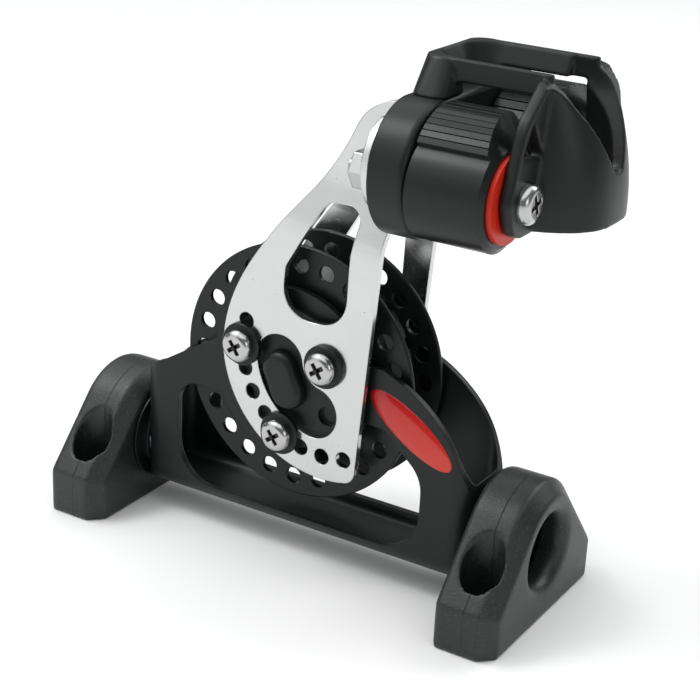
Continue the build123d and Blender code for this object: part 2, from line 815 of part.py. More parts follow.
def make_cam(sign, label):
    step = (tooth_from - tip_angle) / cam_teeth
    teeth = [polar(cam_back_r, tooth_from)]
    for i in range(cam_teeth):
        start = tooth_from - i * step
        teeth.append(polar(spiral_r(start - 0.15 * step), start - 0.15 * step))
        teeth.append(polar(spiral_r(start - step), start - step))
        if i < cam_teeth - 1:
            teeth.append(polar(spiral_r(start - step) - tooth_depth, start - step))
    root = polar(cam_back_r, -38)
    with BuildPart() as cam:
        with BuildSketch(Plane.YZ.offset(cam_start_x)):
            with BuildLine():
                Polyline(*teeth)
                ThreePointArc(teeth[-1], polar(13.7, -12), root)
                ThreePointArc(root, polar(cam_back_r, -135), teeth[0])
            make_face()
            Circle(cam_bore_r, mode=Mode.SUBTRACT)
        extrude(amount=cam_len)
        with Locations(Plane.YZ.offset(cam_start_x)):
            Cone(
                cam_nose_r + cam_nose_slope * cam_len,
                cam_nose_r,
                cam_len,
                align=(Align.CENTER, Align.CENTER, Align.MIN),
                mode=Mode.INTERSECT,
            )
    shape = Pos(0, -cam_y, cleat_z) * cam.part
    finish(shape if sign < 0 else mirror(shape, about=Plane.XZ), label)


make_cam(-1, "cam_front")
make_cam(1, "cam_rear")


def make_cam_fittings(sign, name):
    centre = (sign * cam_y, cleat_z)
    with BuildPart() as cam_race:
        with BuildSketch(Plane.YZ.offset(base_front_x)):
            with Locations(centre):
                Circle(cam_race_r)
                Circle(cleat_screw_r + hole_gap, mode=Mode.SUBTRACT)
        extrude(amount=cam_end_x - base_front_x)
    finish(cam_race.part, f"cam_race_{name}")
    with BuildPart() as cam_balls:
        for row_x in (5.3, 9.2, 13.1):
            row = Plane.YZ.offset(cam_start_x + row_x)
            with Locations(row):
                with Locations(centre):
                    with PolarLocations((cam_bore_r + cam_race_r) / 2, cam_balls_in_row):
                        Sphere(cam_ball_r)
    finish(cam_balls.part, f"cam_balls_{name}")
    with BuildPart() as cam_cap:
        with BuildSketch(Plane.YZ.offset(cam_end_x)):
            with Locations(centre):
                Circle(cap_r)
                Circle(cleat_screw_r + hole_gap, mode=Mode.SUBTRACT)
        extrude(amount=cap_t)
    finish(cam_cap.part, f"cam_cap_{name}")
    spring_r = (cam_bore_r + cam_race_r) / 2
    wire_r = 0.45
    coil = Helix(pitch=1.15, height=2.8, radius=spring_r, center=(0, 0, 0))
    with BuildPart() as cam_spring:
        with BuildLine():
            add(coil)
        with BuildSketch(Plane(origin=coil @ 0, z_dir=coil % 0)):
            Circle(wire_r)
        sweep(is_frenet=True)
    place = Plane.YZ.offset(base_front_x + 0.9).location * Pos(centre[0], centre[1], 0)
    finish(place * cam_spring.part, f"cam_spring_{name}")


make_cam_fittings(-1, "front")
make_cam_fittings(1, "rear")

# fairlead: two flanges over the cams, an eye above them and a flared outboard wall
def raised(points):
    # heights in the fairlead's outlines are measured from the cam axes
    return [(across, up + cleat_z) for across, up in points]


# the outboard wall's level sections: height above the cam axes, reach beyond the flange,
# and how far inboard of the cleat screws its sides meet the flange
hood_levels = (
    (lead_bottom - 1, 10.4, 4.4),
    (0.5, 10.1, 4.1),
    (8.0, 8.8, 5.0),
    (14.0, 7.0, 6.0),
    (18.0, 5.4, 6.8),
    (lead_top, 3.4, 7.8),
)


def hood_section(level, inset):
    # one level section; inset moves its curve inwards
    up, reach, side_inset = level
    foot_y = cam_y - side_inset - 1.5 * inset
    foot_x = lead_face_x - (lead_flange_t + 0.2 if inset else 0)
    tip_x = max(lead_face_x + reach - inset, foot_x + 0.8)
    depth = tip_x - foot_x
    with BuildSketch(Plane.XY.offset(cleat_z + up)) as section:
        with BuildLine():
            Spline(
                (foot_x, -foot_y),
                (foot_x + 0.48 * depth, -0.82 * foot_y),
                (foot_x + 0.86 * depth, -0.52 * foot_y),
                (tip_x, 0),
                (foot_x + 0.86 * depth, 0.52 * foot_y),
                (foot_x + 0.48 * depth, 0.82 * foot_y),
                (foot_x, foot_y),
            )
            Line((foot_x, foot_y), (foot_x, -foot_y))
        make_face()
    return section.sketch


def hood_block(inset):
    with BuildPart() as block:
        loft([hood_section(level, inset) for level in hood_levels])
    return block.part


lead_tall = lead_top - lead_bottom
with BuildPart() as fairlead:
    with Locations(((lead_back_x + lead_face_x) / 2, 0, cleat_z + lead_bottom - 1)):
        Box(
            lead_flange_t,
            2 * (cam_y + lead_boss_r),
            lead_tall + 1,
            align=(Align.CENTER, Align.CENTER, Align.MIN),
        )
    add(hood_block(0))
    add(hood_block(lead_wall), mode=Mode.SUBTRACT)
    # the outline seen along the cam axes
    with BuildSketch(Plane.YZ):
        with BuildLine():
            half = [
                (eye_half_y + eye_ring_t + 0.6, lead_top),
                (cam_y + 1.4, 14.6),
                (cam_y + lead_boss_r + 0.2, 0.5),
                (cam_y + 3.6, -lead_boss_r - 0.6),
                (cam_y - 10, lead_bottom),
            ]
            whole = half + [(-across, up) for across, up in reversed(half)]
            FilletPolyline(
                *raised(whole),
                radius=(7, 9, 5, 5, 8, 8, 5, 5, 9, 7),
                close=True,
            )
        make_face()
    extrude(amount=2 * lead_face_x, mode=Mode.INTERSECT)
    # the outline seen along Y, rounded where the top turns down the outboard wall
    with BuildSketch(side):
        with BuildLine():
            brow = [(lead_face_x - 8, lead_top), (lead_face_x - 2.3, 20.9), (lead_face_x + 1.2, 19.0)]
            brow += [(lead_face_x + 4.4, 15.4), (lead_face_x + 12, 4.0)]
            Spline(*raised(brow), tangents=((1, 0), (0.5, -1)))
            end_x = lead_face_x + 12
            Polyline(
                *raised([brow[-1], (end_x, -2 * lead_top), (0, -2 * lead_top), (0, lead_top), brow[0]])
            )
        make_face()
    extrude(amount=2 * cam_y, both=True, mode=Mode.INTERSECT)
    # the wall at the back of the eye, standing on the cleat's base and spreading towards it
    eye_outer_y = eye_half_y + eye_ring_t
    wall_mid_x = cleat_back_x + base_t / 2
    ring_low = cleat_z + lead_top - eye_ring_tall
    seat_z = cleat_z + base_rise + base_end_r - 3.5
    with BuildSketch(Plane.XY.offset(seat_z)):
        with Locations((wall_mid_x, 0)):
            RectangleRounded(base_t, 2 * (eye_outer_y + 6.6), 2.0)
    with BuildSketch(Plane.XY.offset(cleat_z + lead_top)):
        with Locations((wall_mid_x, 0)):
            RectangleRounded(base_t, 2 * eye_outer_y, 3.6)
    loft()
    with BuildSketch(Plane.YZ.offset(cleat_back_x)):
        with Locations((0, cleat_z + base_rise)):
            SlotCenterToCenter(2 * base_end_y, 2 * base_end_r)
    extrude(amount=base_t, mode=Mode.SUBTRACT)
    # the ring round the eye
    ring_len = lead_face_x - 0.5 - cleat_back_x
    with BuildSketch(Plane.XY.offset(ring_low)):
        with Locations((cleat_back_x + ring_len, 0)):
            RectangleRounded(2 * ring_len, 2 * eye_outer_y, eye_corner_r)
        with Locations((lead_face_x + ring_len / 2 - 0.5, 0)):
            Rectangle(ring_len, 2 * eye_outer_y, mode=Mode.SUBTRACT)
    extrude(amount=eye_ring_tall)
    # the rope's way up through the eye
    way_len = lead_back_x + lead_flange_t - cleat_back_x - lead_wall
    with BuildSketch(Plane.XY.offset(seat_z - 1)):
        with Locations((cleat_back_x + lead_wall + way_len, 0)):
            RectangleRounded(2 * way_len, 2 * eye_half_y, eye_corner_r - 1.5)
        with Locations((cleat_back_x + lead_wall + 1.5 * way_len, 0)):
            Rectangle(way_len, 2 * eye_half_y, mode=Mode.SUBTRACT)
    extrude(amount=lead_tall, mode=Mode.SUBTRACT)
    # the eye flares towards its top
    with BuildSketch(Plane.XY.offset(ring_low)):
        with Locations((cleat_back_x + lead_wall + way_len, 0)):
            RectangleRounded(2 * way_len, 2 * eye_half_y, eye_corner_r - 1.5)
    extrude(
        amount=eye_ring_tall + 0.5,
        taper=-degrees(atan2(eye_lip, eye_ring_tall + 0.5)),
        mode=Mode.SUBTRACT,
    )
    # the rope's way out, over the top and down the outboard wall
    with BuildSketch(Plane.YZ.offset(lead_back_x - 3)):
        with BuildLine():
            throat_half_y = eye_half_y + eye_lip
            throat = [(throat_half_y, lead_top + 3), (throat_half_y - 0.3, 17.0), (0, 1.2)]
            other = [(-across, up) for across, up in reversed(throat[:-1])]
            FilletPolyline(
                *raised(throat + other),
                radius=(0.5, 8, 2.2, 8, 0.5),
                close=True,
            )
        make_face()
    extrude(amount=30, mode=Mode.SUBTRACT)
    # three-cornered windows above the screws
    with BuildSketch(Plane.YZ.offset(lead_back_x - 3)):
        for flip in (-1, 1):
            with BuildLine():
                corners = [(cam_y - 1.4, 14.8), (cam_y + 2.4, 8.2), (cam_y - 6.1, 7.2)]
                FilletPolyline(*raised([(flip * y, z) for y, z in corners]), radius=0.9, close=True)
            make_face()
    extrude(amount=30, mode=Mode.SUBTRACT)
    with BuildSketch(Plane.YZ):
        with Locations((-cam_y, cleat_z), (cam_y, cleat_z)):
            Circle(cleat_screw_r + hole_gap)
    extrude(amount=2 * lead_face_x, mode=Mode.SUBTRACT)
finish(fairlead.part, "fairlead")

nut_face_x = cleat_back_x - sheet_t - washer_t
screw_end_x = nut_face_x - nut_t - 1.2
with BuildPart() as cleat_screws:
    with BuildSketch(Plane.YZ.offset(lead_face_x)):
        with Locations((-cam_y, cleat_z), (cam_y, cleat_z)):
            Circle(cleat_head_r)
    extrude(amount=cleat_head_t)
    crowns = cleat_screws.edges().filter_by(lambda e: e.center().X > lead_face_x + cleat_head_t - 0.01)
    fillet(crowns, radius=1.5)
    with BuildSketch(Plane.YZ.offset(lead_face_x + cleat_head_t)):
        with Locations((-cam_y, cleat_z), (cam_y, cleat_z)):
            Rectangle(4.0, 1.0, rotation=20)
            Rectangle(4.0, 1.0, rotation=110)
    extrude(amount=-1.4, mode=Mode.SUBTRACT)
    with BuildSketch(Plane.YZ.offset(screw_end_x)):
        with Locations((-cam_y, cleat_z), (cam_y, cleat_z)):
            Circle(cleat_screw_r)
    extrude(amount=lead_face_x - screw_end_x)
finish(cleat_screws.part, "cleat_screws")

with BuildPart() as cleat_nuts:
    with BuildSketch(Plane.YZ.offset(nut_face_x)):
        with Locations((-cam_y, cleat_z), (cam_y, cleat_z)):
            RegularPolygon(nut_across_flats / 2, 6, major_radius=False)
            Circle(cleat_screw_r + hole_gap, mode=Mode.SUBTRACT)
    extrude(amount=-nut_t)
finish(cleat_nuts.part, "cleat_nuts")

with BuildPart() as cleat_washers:
    with BuildSketch(Plane.YZ.offset(nut_face_x)):
        with Locations((-cam_y, cleat_z), (cam_y, cleat_z)):
            Circle(nut_across_flats / 2 + 1.2)
            Circle(cleat_screw_r + hole_gap, mode=Mode.SUBTRACT)
    extrude(amount=washer_t)
finish(cleat_washers.part, "cleat_washers")
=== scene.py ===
# %% [markdown]
# # A pivoting ratchet lead block with a cam cleat
#
# The object is a piece of deck hardware. Two feet carry a cradle that swings, a ratchet sheave
# runs in the cradle, and a bent stainless arm holds a cam cleat with its fairlead. The engineering
# model is loaded first, as a fixed frame. Its nodes keep their places and sizes, and everything
# made here lines up with them.

from math import cos, pi, radians, sin

import bpy
from mathutils import Matrix, Vector


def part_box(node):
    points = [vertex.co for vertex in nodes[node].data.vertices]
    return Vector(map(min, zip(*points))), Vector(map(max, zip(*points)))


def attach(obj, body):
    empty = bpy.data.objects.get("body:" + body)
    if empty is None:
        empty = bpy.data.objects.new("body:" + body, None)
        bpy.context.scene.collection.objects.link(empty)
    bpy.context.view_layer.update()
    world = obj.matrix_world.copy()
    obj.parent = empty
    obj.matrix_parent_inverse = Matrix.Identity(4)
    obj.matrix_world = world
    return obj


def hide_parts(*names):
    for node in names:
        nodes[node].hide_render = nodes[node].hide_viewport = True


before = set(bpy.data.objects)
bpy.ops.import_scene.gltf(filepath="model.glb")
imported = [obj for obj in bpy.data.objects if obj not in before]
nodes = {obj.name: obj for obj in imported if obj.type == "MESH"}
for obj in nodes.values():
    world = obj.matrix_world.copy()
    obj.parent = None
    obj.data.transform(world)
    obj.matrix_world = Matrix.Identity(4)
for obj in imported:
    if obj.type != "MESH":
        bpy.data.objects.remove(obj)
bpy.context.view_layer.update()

# %% [markdown]
# ## Measures
#
# All places come from the frame, in metres. The sheave's axis is the middle of its flange's box,
# the cam axes are the middles of their caps, and the badge and the screws' crowns are found in the
# same way. The sizes of small details that no node carries, such as a recess or a pin, are named
# where they are used.

# %% Places that the details are measured from
MM = 0.001


def middle(node):
    low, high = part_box(node)
    return (Vector(low) + Vector(high)) / 2


def span(node):
    low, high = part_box(node)
    return Vector(high) - Vector(low)


sheave_axis = middle("sheave_flange_front")
sheave_r = span("sheave_flange_front").x / 2
cam_axis_front = middle("cam_cap_front")
cam_axis_rear = middle("cam_cap_rear")
print("sheave axis", sheave_axis[:], "radius", sheave_r)
print("cam axes", cam_axis_front[:], cam_axis_rear[:])

# %% [markdown]
# ## A small language for shaders
#
# Node trees are easier to read as sums and products than as long lists of links. The class below
# wraps one socket. Its operators add Math nodes, and the reflected forms make an expression such as
# 1 - mask work. Everything that isn't arithmetic on numbers goes through one method of the tree,
# which takes the node's type, its settings and the values or links of its sockets.

# %% Socket arithmetic and one method for every other node
class Wire:
    def __init__(self, tree, socket):
        self.tree = tree
        self.socket = socket

    def _math(self, operation, first, second=None):
        inputs = {0: first} if second is None else {0: first, 1: second}
        return self.tree.node("ShaderNodeMath", {"operation": operation}, inputs)

    def __add__(self, other):
        return self._math("ADD", self, other)

    def __radd__(self, other):
        return self._math("ADD", other, self)

    def __sub__(self, other):
        return self._math("SUBTRACT", self, other)

    def __rsub__(self, other):
        return self._math("SUBTRACT", other, self)

    def __mul__(self, other):
        return self._math("MULTIPLY", self, other)

    def __rmul__(self, other):
        return self._math("MULTIPLY", other, self)

    def clamp(self):
        return self.tree.node("ShaderNodeClamp", {}, {"Value": self})


class Tree:
    def __init__(self, name):
        self.material = bpy.data.materials.new(name)
        self.material.use_nodes = True
        self.nodes = self.material.node_tree.nodes
        self.links = self.material.node_tree.links
        self.shader = self.nodes["Principled BSDF"]
        self.place = self.node("ShaderNodeTexCoord", {}, {}, "Object")

    def node(self, kind, settings, inputs, output=0):
        made = self.nodes.new(kind)
        for name, value in settings.items():
            setattr(made, name, value)
        for name, value in inputs.items():
            self.set(made, name, value)
        return Wire(self, made.outputs[output])

    def set(self, made, name, value):
        socket = made.inputs[name]
        if isinstance(value, Wire):
            self.links.new(value.socket, socket)
        else:
            socket.default_value = value

    def surface(self, **values):
        # socket names with a space are written with an underscore
        for name, value in values.items():
            self.set(self.shader, name.replace("_", " "), value)
        return self.material

    def noise(self, size_mm, detail=2.0, stretch=(1, 1, 1), rough=0.5):
        scale = [s * 1000 / size_mm for s in stretch]
        scaled = self.node("ShaderNodeMapping", {}, {"Vector": self.place, "Scale": scale})
        inputs = {"Vector": scaled, "Scale": 1.0, "Detail": detail, "Roughness": rough}
        return self.node("ShaderNodeTexNoise", {}, inputs, "Fac")

    def mix(self, share, first, second):
        inputs = {"Factor": share, 6: first, 7: second}
        return self.node("ShaderNodeMix", {"data_type": "RGBA"}, inputs, 2)

    def steps(self, value, low, high):
        # 0 below low, 1 above high, a straight rise between them
        inputs = {"Value": value, "From Min": low, "From Max": high}
        return self.node("ShaderNodeMapRange", {}, inputs)

    def edges(self, radius_mm):
        # normals that are rounded over sharp edges, as a moulded or tumbled edge is
        return self.node("ShaderNodeBevel", {"samples": 6}, {"Radius": radius_mm * MM})

    def bump(self, height, distance_mm, over=None):
        inputs = {"Height": height, "Distance": distance_mm * MM, "Strength": 1.0}
        if over is not None:
            inputs["Normal"] = over
        return self.node("ShaderNodeBump", {}, inputs)


print("shader helpers ready")

# %% [markdown]
# ## Black plastics
#
# Three kinds of black moulding are on this block. The feet are glass-filled nylon with a fine
# spark-eroded grain. The cradle, the cheeks and the sheave are smoother and darker. The cleat's
# parts are satin, with faint flow marks. One function makes all three from the size and depth of
# the grain, and adds the paler scuffs that a surface gets in use.

# %% Moulded plastic
FLECK_COLOUR = [0.10, 0.115, 0.115, 1]
SEAM_INNER_MM, SEAM_OUTER_MM = 0.04, 0.14
SEAM_DEPTH = 2.0


def moulded_plastic(
    name,
    colour,
    grain_mm,
    grain_depth,
    roughness,
    rounding=0.35,
    flow=0.0,
    seams=(),
    fleck=0.0,
    gloss=0.3,
):
    tree = Tree(name)
    grain = tree.noise(grain_mm, detail=3.0)
    cloud = tree.noise(14.0, detail=3.0)
    scuff = tree.noise(2.6, detail=6.0, stretch=(1, 0.35, 1), rough=0.7)
    worn = tree.steps(scuff, 0.58, 0.78)
    paler = [min(1.0, c * 1.9 + 0.004) for c in colour]
    base = tree.mix(cloud * 0.5, [*colour, 1], [*[c * 1.35 for c in colour], 1])
    base = tree.mix(worn * 0.35, base, [*paler, 1])
    if fleck:
        # glass fibres near the skin show as fine pale flecks
        flecks = tree.steps(tree.noise(0.45, detail=4.0, rough=0.8), 0.55, 0.72)
        base = tree.mix(flecks * fleck, base, FLECK_COLOUR)
    height = grain
    if flow:
        height = grain + flow * tree.noise(5.0, detail=2.0, stretch=(0.3, 1, 1))
    for seam_x in seams:
        # a fine parting line where the two halves of the mould met
        across = tree.node("ShaderNodeSeparateXYZ", {}, {"Vector": tree.place}, "X")
        off = tree.node("ShaderNodeMath", {"operation": "ABSOLUTE"}, {0: across - seam_x})
        line = 1.0 - tree.steps(off, SEAM_INNER_MM * MM, SEAM_OUTER_MM * MM)
        height = height - SEAM_DEPTH * line
    normal = tree.bump(height, grain_depth, over=tree.edges(rounding))
    rough = roughness + 0.10 * (cloud - 0.5) + 0.12 * worn + 0.10 * (grain - 0.5)
    return tree.surface(Base_Color=base, Roughness=rough, Normal=normal, Specular_IOR_Level=gloss)


seams = [middle("foot_left").x, middle("foot_right").x]
foot_nylon = moulded_plastic(
    "foot_nylon",
    (0.009, 0.0115, 0.0115),
    0.32,
    0.07,
    0.40,
    rounding=0.4,
    seams=seams,
    fleck=0.55,
    gloss=0.5,
)
cradle_nylon = moulded_plastic("cradle_nylon", (0.0065, 0.0085, 0.0085), 0.22, 0.006, 0.38)
sheave_acetal = moulded_plastic(
    "sheave_acetal", (0.0058, 0.0072, 0.0072), 0.18, 0.004, 0.34, rounding=0.25
)
cleat_plastic = moulded_plastic(
    "cleat_plastic", (0.0078, 0.010, 0.010), 0.28, 0.014, 0.38, rounding=0.6, flow=0.3
)
cam_plastic = moulded_plastic(
    "cam_plastic", (0.0068, 0.0086, 0.0086), 0.35, 0.014, 0.30, rounding=0.15, flow=0.5
)
liner_acetal = moulded_plastic("liner_acetal", (0.005, 0.006, 0.0065), 0.2, 0.004, 0.32)
washer_plastic = moulded_plastic(
    "washer_plastic", (0.006, 0.007, 0.0075), 0.2, 0.005, 0.32, rounding=0.3
)
print("black plastics", len(bpy.data.materials))

# %% [markdown]
# ## Metals
#
# The arm is polished stainless sheet. Its faces still show the fine lines of the polishing belt,
# which run along the leg, and a soft haze where it has been handled. The screws have finer lines
# and tumbled edges. Races, pins and pawls are plain machined steel that sits inside.

# %% Polished sheet, bright fasteners and machined steel
def stainless(name, colour, roughness, line_mm, line_depth, stretch=(1, 1, 1), rounding=0.15):
    tree = Tree(name)
    lines = tree.noise(line_mm, detail=4.0, stretch=stretch, rough=0.6)
    haze = tree.noise(9.0, detail=4.0)
    spots = tree.steps(tree.noise(0.9, detail=2.0), 0.68, 0.76)
    base = tree.mix(haze * 0.6, [*colour, 1], [*[c * 0.86 for c in colour], 1])
    base = tree.mix(spots * 0.25, base, [*[c * 0.7 for c in colour], 1])
    rough = roughness + 0.10 * (haze - 0.4) + 0.10 * (lines - 0.5) + 0.10 * spots
    normal = tree.bump(lines, line_depth, over=tree.edges(rounding))
    return tree.surface(Base_Color=base, Roughness=rough, Metallic=1.0, Normal=normal)


arm_steel = stainless(
    "arm_steel", (0.62, 0.625, 0.625), 0.22, 0.16, 0.0014, stretch=(1, 1, 0.05), rounding=0.4
)
bright_steel = stainless("bright_steel", (0.50, 0.50, 0.50), 0.2, 0.25, 0.004, rounding=0.35)
# near-black steel that paints the shade in the bottom of the screw recesses
recess_shade_steel = stainless("recess_shade_steel", (0.05, 0.05, 0.05), 0.4, 0.25, 0.004)
machined_steel = stainless("machined_steel", (0.5, 0.5, 0.5), 0.3, 0.2, 0.004)
spring_wire = stainless("spring_wire", (0.55, 0.55, 0.54), 0.28, 0.2, 0.003)
print("metals", [m.name for m in bpy.data.materials][-4:])

# %% [markdown]
# ## Reds, and the balls
#
# The badge is a blank oval of printed red under clear domed resin, with a wet gloss from a clear
# coat. The fade of its red is painted light: darker deep red at its upper end, brighter and warmer
# towards the lower edge. The caps at the ends of the cams are a flat moulded orange red. The balls
# are tan bearing plastic.

# %% Domed badge, red cap and ball plastic
# the badge's red with painted light: darker at its upper end, brighter and warmer at its lower edge
SHADED_UPPER_RED, LIT_LOWER_RED = [0.44, 0.007, 0.009, 1], [0.62, 0.035, 0.016, 1]
BADGE_LIGHT_FADE_MM = 6


def domed_red(name):
    tree = Tree(name)
    # painted light: the red fades from the bright lower edge to the darker upper end of the badge
    along = tree.node("ShaderNodeSeparateXYZ", {}, {"Vector": tree.place}, "Z")
    centre = middle("badge")
    share = tree.steps(along, centre.z - BADGE_LIGHT_FADE_MM * MM, centre.z + BADGE_LIGHT_FADE_MM * MM)
    cloud = tree.noise(7.0, detail=2.0)
    colour = tree.mix((share * 0.9 + cloud * 0.15).clamp(), LIT_LOWER_RED, SHADED_UPPER_RED)
    dust = tree.noise(0.35, detail=2.0)
    normal = tree.bump(dust, 0.002)
    rough = 0.14 + 0.08 * tree.noise(3.0)
    return tree.surface(
        Base_Color=colour,
        Roughness=rough,
        Normal=normal,
        Coat_Weight=0.6,
        Coat_Roughness=0.03,
        Specular_IOR_Level=0.2,
    )


def moulded_red(name):
    tree = Tree(name)
    cloud = tree.noise(4.0, detail=3.0)
    colour = tree.mix(cloud, [0.52, 0.012, 0.004, 1], [0.64, 0.028, 0.007, 1])
    normal = tree.bump(tree.noise(0.25), 0.006, over=tree.edges(0.2))
    rough = 0.34 + 0.14 * cloud
    return tree.surface(Base_Color=colour, Roughness=rough, Normal=normal, Specular_IOR_Level=0.3)


def ball_plastic(name):
    tree = Tree(name)
    cloud = tree.noise(1.2, detail=2.0)
    colour = tree.mix(cloud, [0.30, 0.22, 0.11, 1], [0.42, 0.33, 0.18, 1])
    return tree.surface(Base_Color=colour, Roughness=0.2 + 0.1 * cloud)


badge_red = domed_red("badge_red")
cap_red = moulded_red("cap_red")
ball_tan = ball_plastic("ball_tan")
print("reds and balls made")

# %% [markdown]
# ## Finishes on the engineering nodes
#
# Most nodes already have their final shape, so they only need their finish. Each material is given
# to the nodes that are made of it.

# %% Give every node its finish
finishes = {
    foot_nylon: ["foot_left", "foot_right"],
    cradle_nylon: ["cradle", "cheek_front", "cheek_rear", "ratchet_switch"],
    sheave_acetal: ["sheave_core", "sheave_flange_front", "sheave_flange_rear"],
    cleat_plastic: ["cleat_base", "fairlead"],
    cam_plastic: ["cam_front", "cam_rear"],
    liner_acetal: [
        "trunnion_left",
        "trunnion_right",
        "thrust_washer_left",
        "thrust_washer_right",
    ],
    washer_plastic: ["cheek_washers_front", "cheek_washers_rear"],
    arm_steel: ["arm_front", "arm_rear"],
    bright_steel: [
        "cheek_screws_front",
        "cheek_screws_rear",
        "cleat_screws",
        "cleat_nuts",
        "cleat_washers",
    ],
    machined_steel: [
        "bearing_race",
        "axle_hub",
        "pawl_plate",
        "pawl_pins",
        "pawl_right",
        "pawl_left",
        "cam_race_front",
        "cam_race_rear",
    ],
    spring_wire: ["pawl_springs", "cam_spring_front", "cam_spring_rear"],
    badge_red: ["badge"],
    cap_red: ["cam_cap_front", "cam_cap_rear"],
    ball_tan: ["sheave_balls", "cam_balls_front", "cam_balls_rear"],
}


def give(piece, material):
    piece.data.materials.clear()
    piece.data.materials.append(material)


for material, names in finishes.items():
    for name in names:
        give(nodes[name], material)
print("finished nodes", sum(len(names) for names in finishes.values()), "of", len(nodes))

# %% [markdown]
# ## Softened mouldings
#
# The feet and the fairlead come out of their moulds with generous soft edges and blended inner
# corners. Each is made as a copy of its node with the copied corners merged. A fine voxel skin is
# laid over it and relaxed, which rounds every edge by about half a millimetre and keeps the bores
# and holes where they are.

# %% Soft feet and a soft fairlead
MERGE_MM = 0.002
FOOT_VOXEL_MM, FOOT_ROUNDS = 0.42, 7
FAIRLEAD_VOXEL_MM, FAIRLEAD_ROUNDS = 0.36, 5


def nothing_selected():
    bpy.ops.object.select_all(action="DESELECT")


def only(piece):
    nothing_selected()
    bpy.context.view_layer.objects.active = piece
    piece.select_set(True)


def begin_edit():
    bpy.ops.object.mode_set(mode="EDIT")
    bpy.ops.mesh.select_all(action="SELECT")


def end_edit():
    bpy.ops.object.mode_set(mode="OBJECT")


def apply_all(piece):
    only(piece)
    for name in [m.name for m in piece.modifiers]:
        bpy.ops.object.modifier_apply(modifier=name)


def smooth_faces(piece, angle=40):
    only(piece)
    bpy.ops.object.shade_smooth_by_angle(angle=radians(angle))


def softened(name, label, voxel_mm, rounds, body):
    source = nodes[name]
    piece = bpy.data.objects.new(label, source.data.copy())
    bpy.context.collection.objects.link(piece)
    only(piece)
    begin_edit()
    bpy.ops.mesh.remove_doubles(threshold=MERGE_MM * MM)
    end_edit()
    skin = piece.modifiers.new("skin", "REMESH")
    skin.mode = "VOXEL"
    skin.voxel_size = voxel_mm * MM
    skin.use_smooth_shade = True
    relax = piece.modifiers.new("relax", "SMOOTH")
    relax.factor = 0.5
    relax.iterations = rounds
    apply_all(piece)
    give(piece, source.data.materials[0])
    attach(piece, body)
    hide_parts(name)
    print(label, "faces", len(piece.data.polygons))


for foot in ("foot_left", "foot_right"):
    softened(foot, "soft_" + foot, FOOT_VOXEL_MM, FOOT_ROUNDS, "deck_feet")
softened(
    "fairlead",
    "soft_fairlead",
    FAIRLEAD_VOXEL_MM,
    FAIRLEAD_ROUNDS,
    "cradle_assembly",
)

# %% [markdown]
# ## Domed badge
#
# The badge is an oval of clear resin that swells to a low dome. It starts as a unit sphere, which
# is cut across so that a cap is left, and is then flattened and turned in edit mode. It sits flat
# on the cradle's wall inside the flat node it replaces.

# %% The badge's dome
badge_mid = middle("badge")
badge_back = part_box("badge")[1][1]
badge_rise = span("badge").y
badge_long = 11.6 * MM
badge_wide = 3.75 * MM
badge_turn = radians(33)
cut_depth = 0.25  # how far in front of the unit sphere's middle it is cut
cut_radius = 0.9682  # the sphere's radius at that cut
inside = 0.998  # keeps the dome just inside the node it replaces
nothing_selected()
bpy.ops.mesh.primitive_uv_sphere_add(segments=96, ring_count=48, radius=1.0, location=(0, 0, 0))
dome = bpy.context.object
dome.name = "badge_dome"
begin_edit()
bpy.ops.mesh.bisect(
    plane_co=(0, -cut_depth, 0), plane_no=(0, 1, 0), clear_outer=True, use_fill=True
)
bpy.ops.mesh.select_all(action="SELECT")
bpy.ops.transform.translate(value=(0, cut_depth, 0))
bpy.ops.transform.resize(
    value=(
        badge_long / cut_radius * inside,
        badge_rise / (1 - cut_depth) * inside,
        badge_wide / cut_radius * inside,
    ),
    center_override=(0, 0, 0),
)
bpy.ops.transform.rotate(value=-badge_turn, orient_axis="Y", center_override=(0, 0, 0))
bpy.ops.transform.translate(value=(badge_mid.x, badge_back, badge_mid.z))
bpy.ops.mesh.normals_make_consistent(inside=False)
end_edit()
give(dome, badge_red)
smooth_faces(dome, 50)
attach(dome, "cradle_assembly")
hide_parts("badge")
print("dome faces", len(dome.data.polygons))

# %% [markdown]
# ## Screw recesses
#
# Each pan head has a cross recess. A dark cross of painted shade, made from two thin blocks, sits
# inside every recess of the nodes and stops just below the head's crown. The crowns come from the
# boxes of the screw nodes. Three heads a side lie on a circle round the sheave's axis, and the
# cleat's two heads lie on the cams' axes.

# %% A dark cross of painted shade in the bottom of every recess
SCREW_CIRCLE = 11.9 * MM
SCREW_ANGLES = (30, 150, 270)
CROSS_DEEP_MM = 0.6
CHEEK_CROSS_TURN, CHEEK_CROSS_LONG_MM, CHEEK_CROSS_WIDE_MM = 35, 3.5, 0.85
CHEEK_CROSS_BELOW = 0.95 * MM
CLEAT_CROSS_TURN, CLEAT_CROSS_LONG_MM, CLEAT_CROSS_WIDE_MM = 20, 3.9, 0.95
CLEAT_CROSS_BELOW = 1.0 * MM


def recess_cross(label, place, lie_about, turn, long_mm, wide_mm):
    wings = []
    size = (long_mm * MM, wide_mm * MM, CROSS_DEEP_MM * MM)
    for quarter in (0, 90):
        nothing_selected()
        bpy.ops.mesh.primitive_cube_add(size=1.0, location=(0, 0, 0))
        wing = bpy.context.object
        begin_edit()
        bpy.ops.transform.resize(value=size, center_override=(0, 0, 0))
        bpy.ops.transform.rotate(
            value=radians(turn + quarter), orient_axis="Z", center_override=(0, 0, 0)
        )
        end_edit()
        wings.append(wing)
    nothing_selected()
    for wing in wings:
        wing.select_set(True)
    bpy.context.view_layer.objects.active = wings[0]
    bpy.ops.object.join()
    cross = bpy.context.object
    cross.name = label
    begin_edit()
    bpy.ops.transform.rotate(value=radians(90), orient_axis=lie_about, center_override=(0, 0, 0))
    bpy.ops.transform.translate(value=place)
    end_edit()
    give(cross, recess_shade_steel)
    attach(cross, "cradle_assembly")


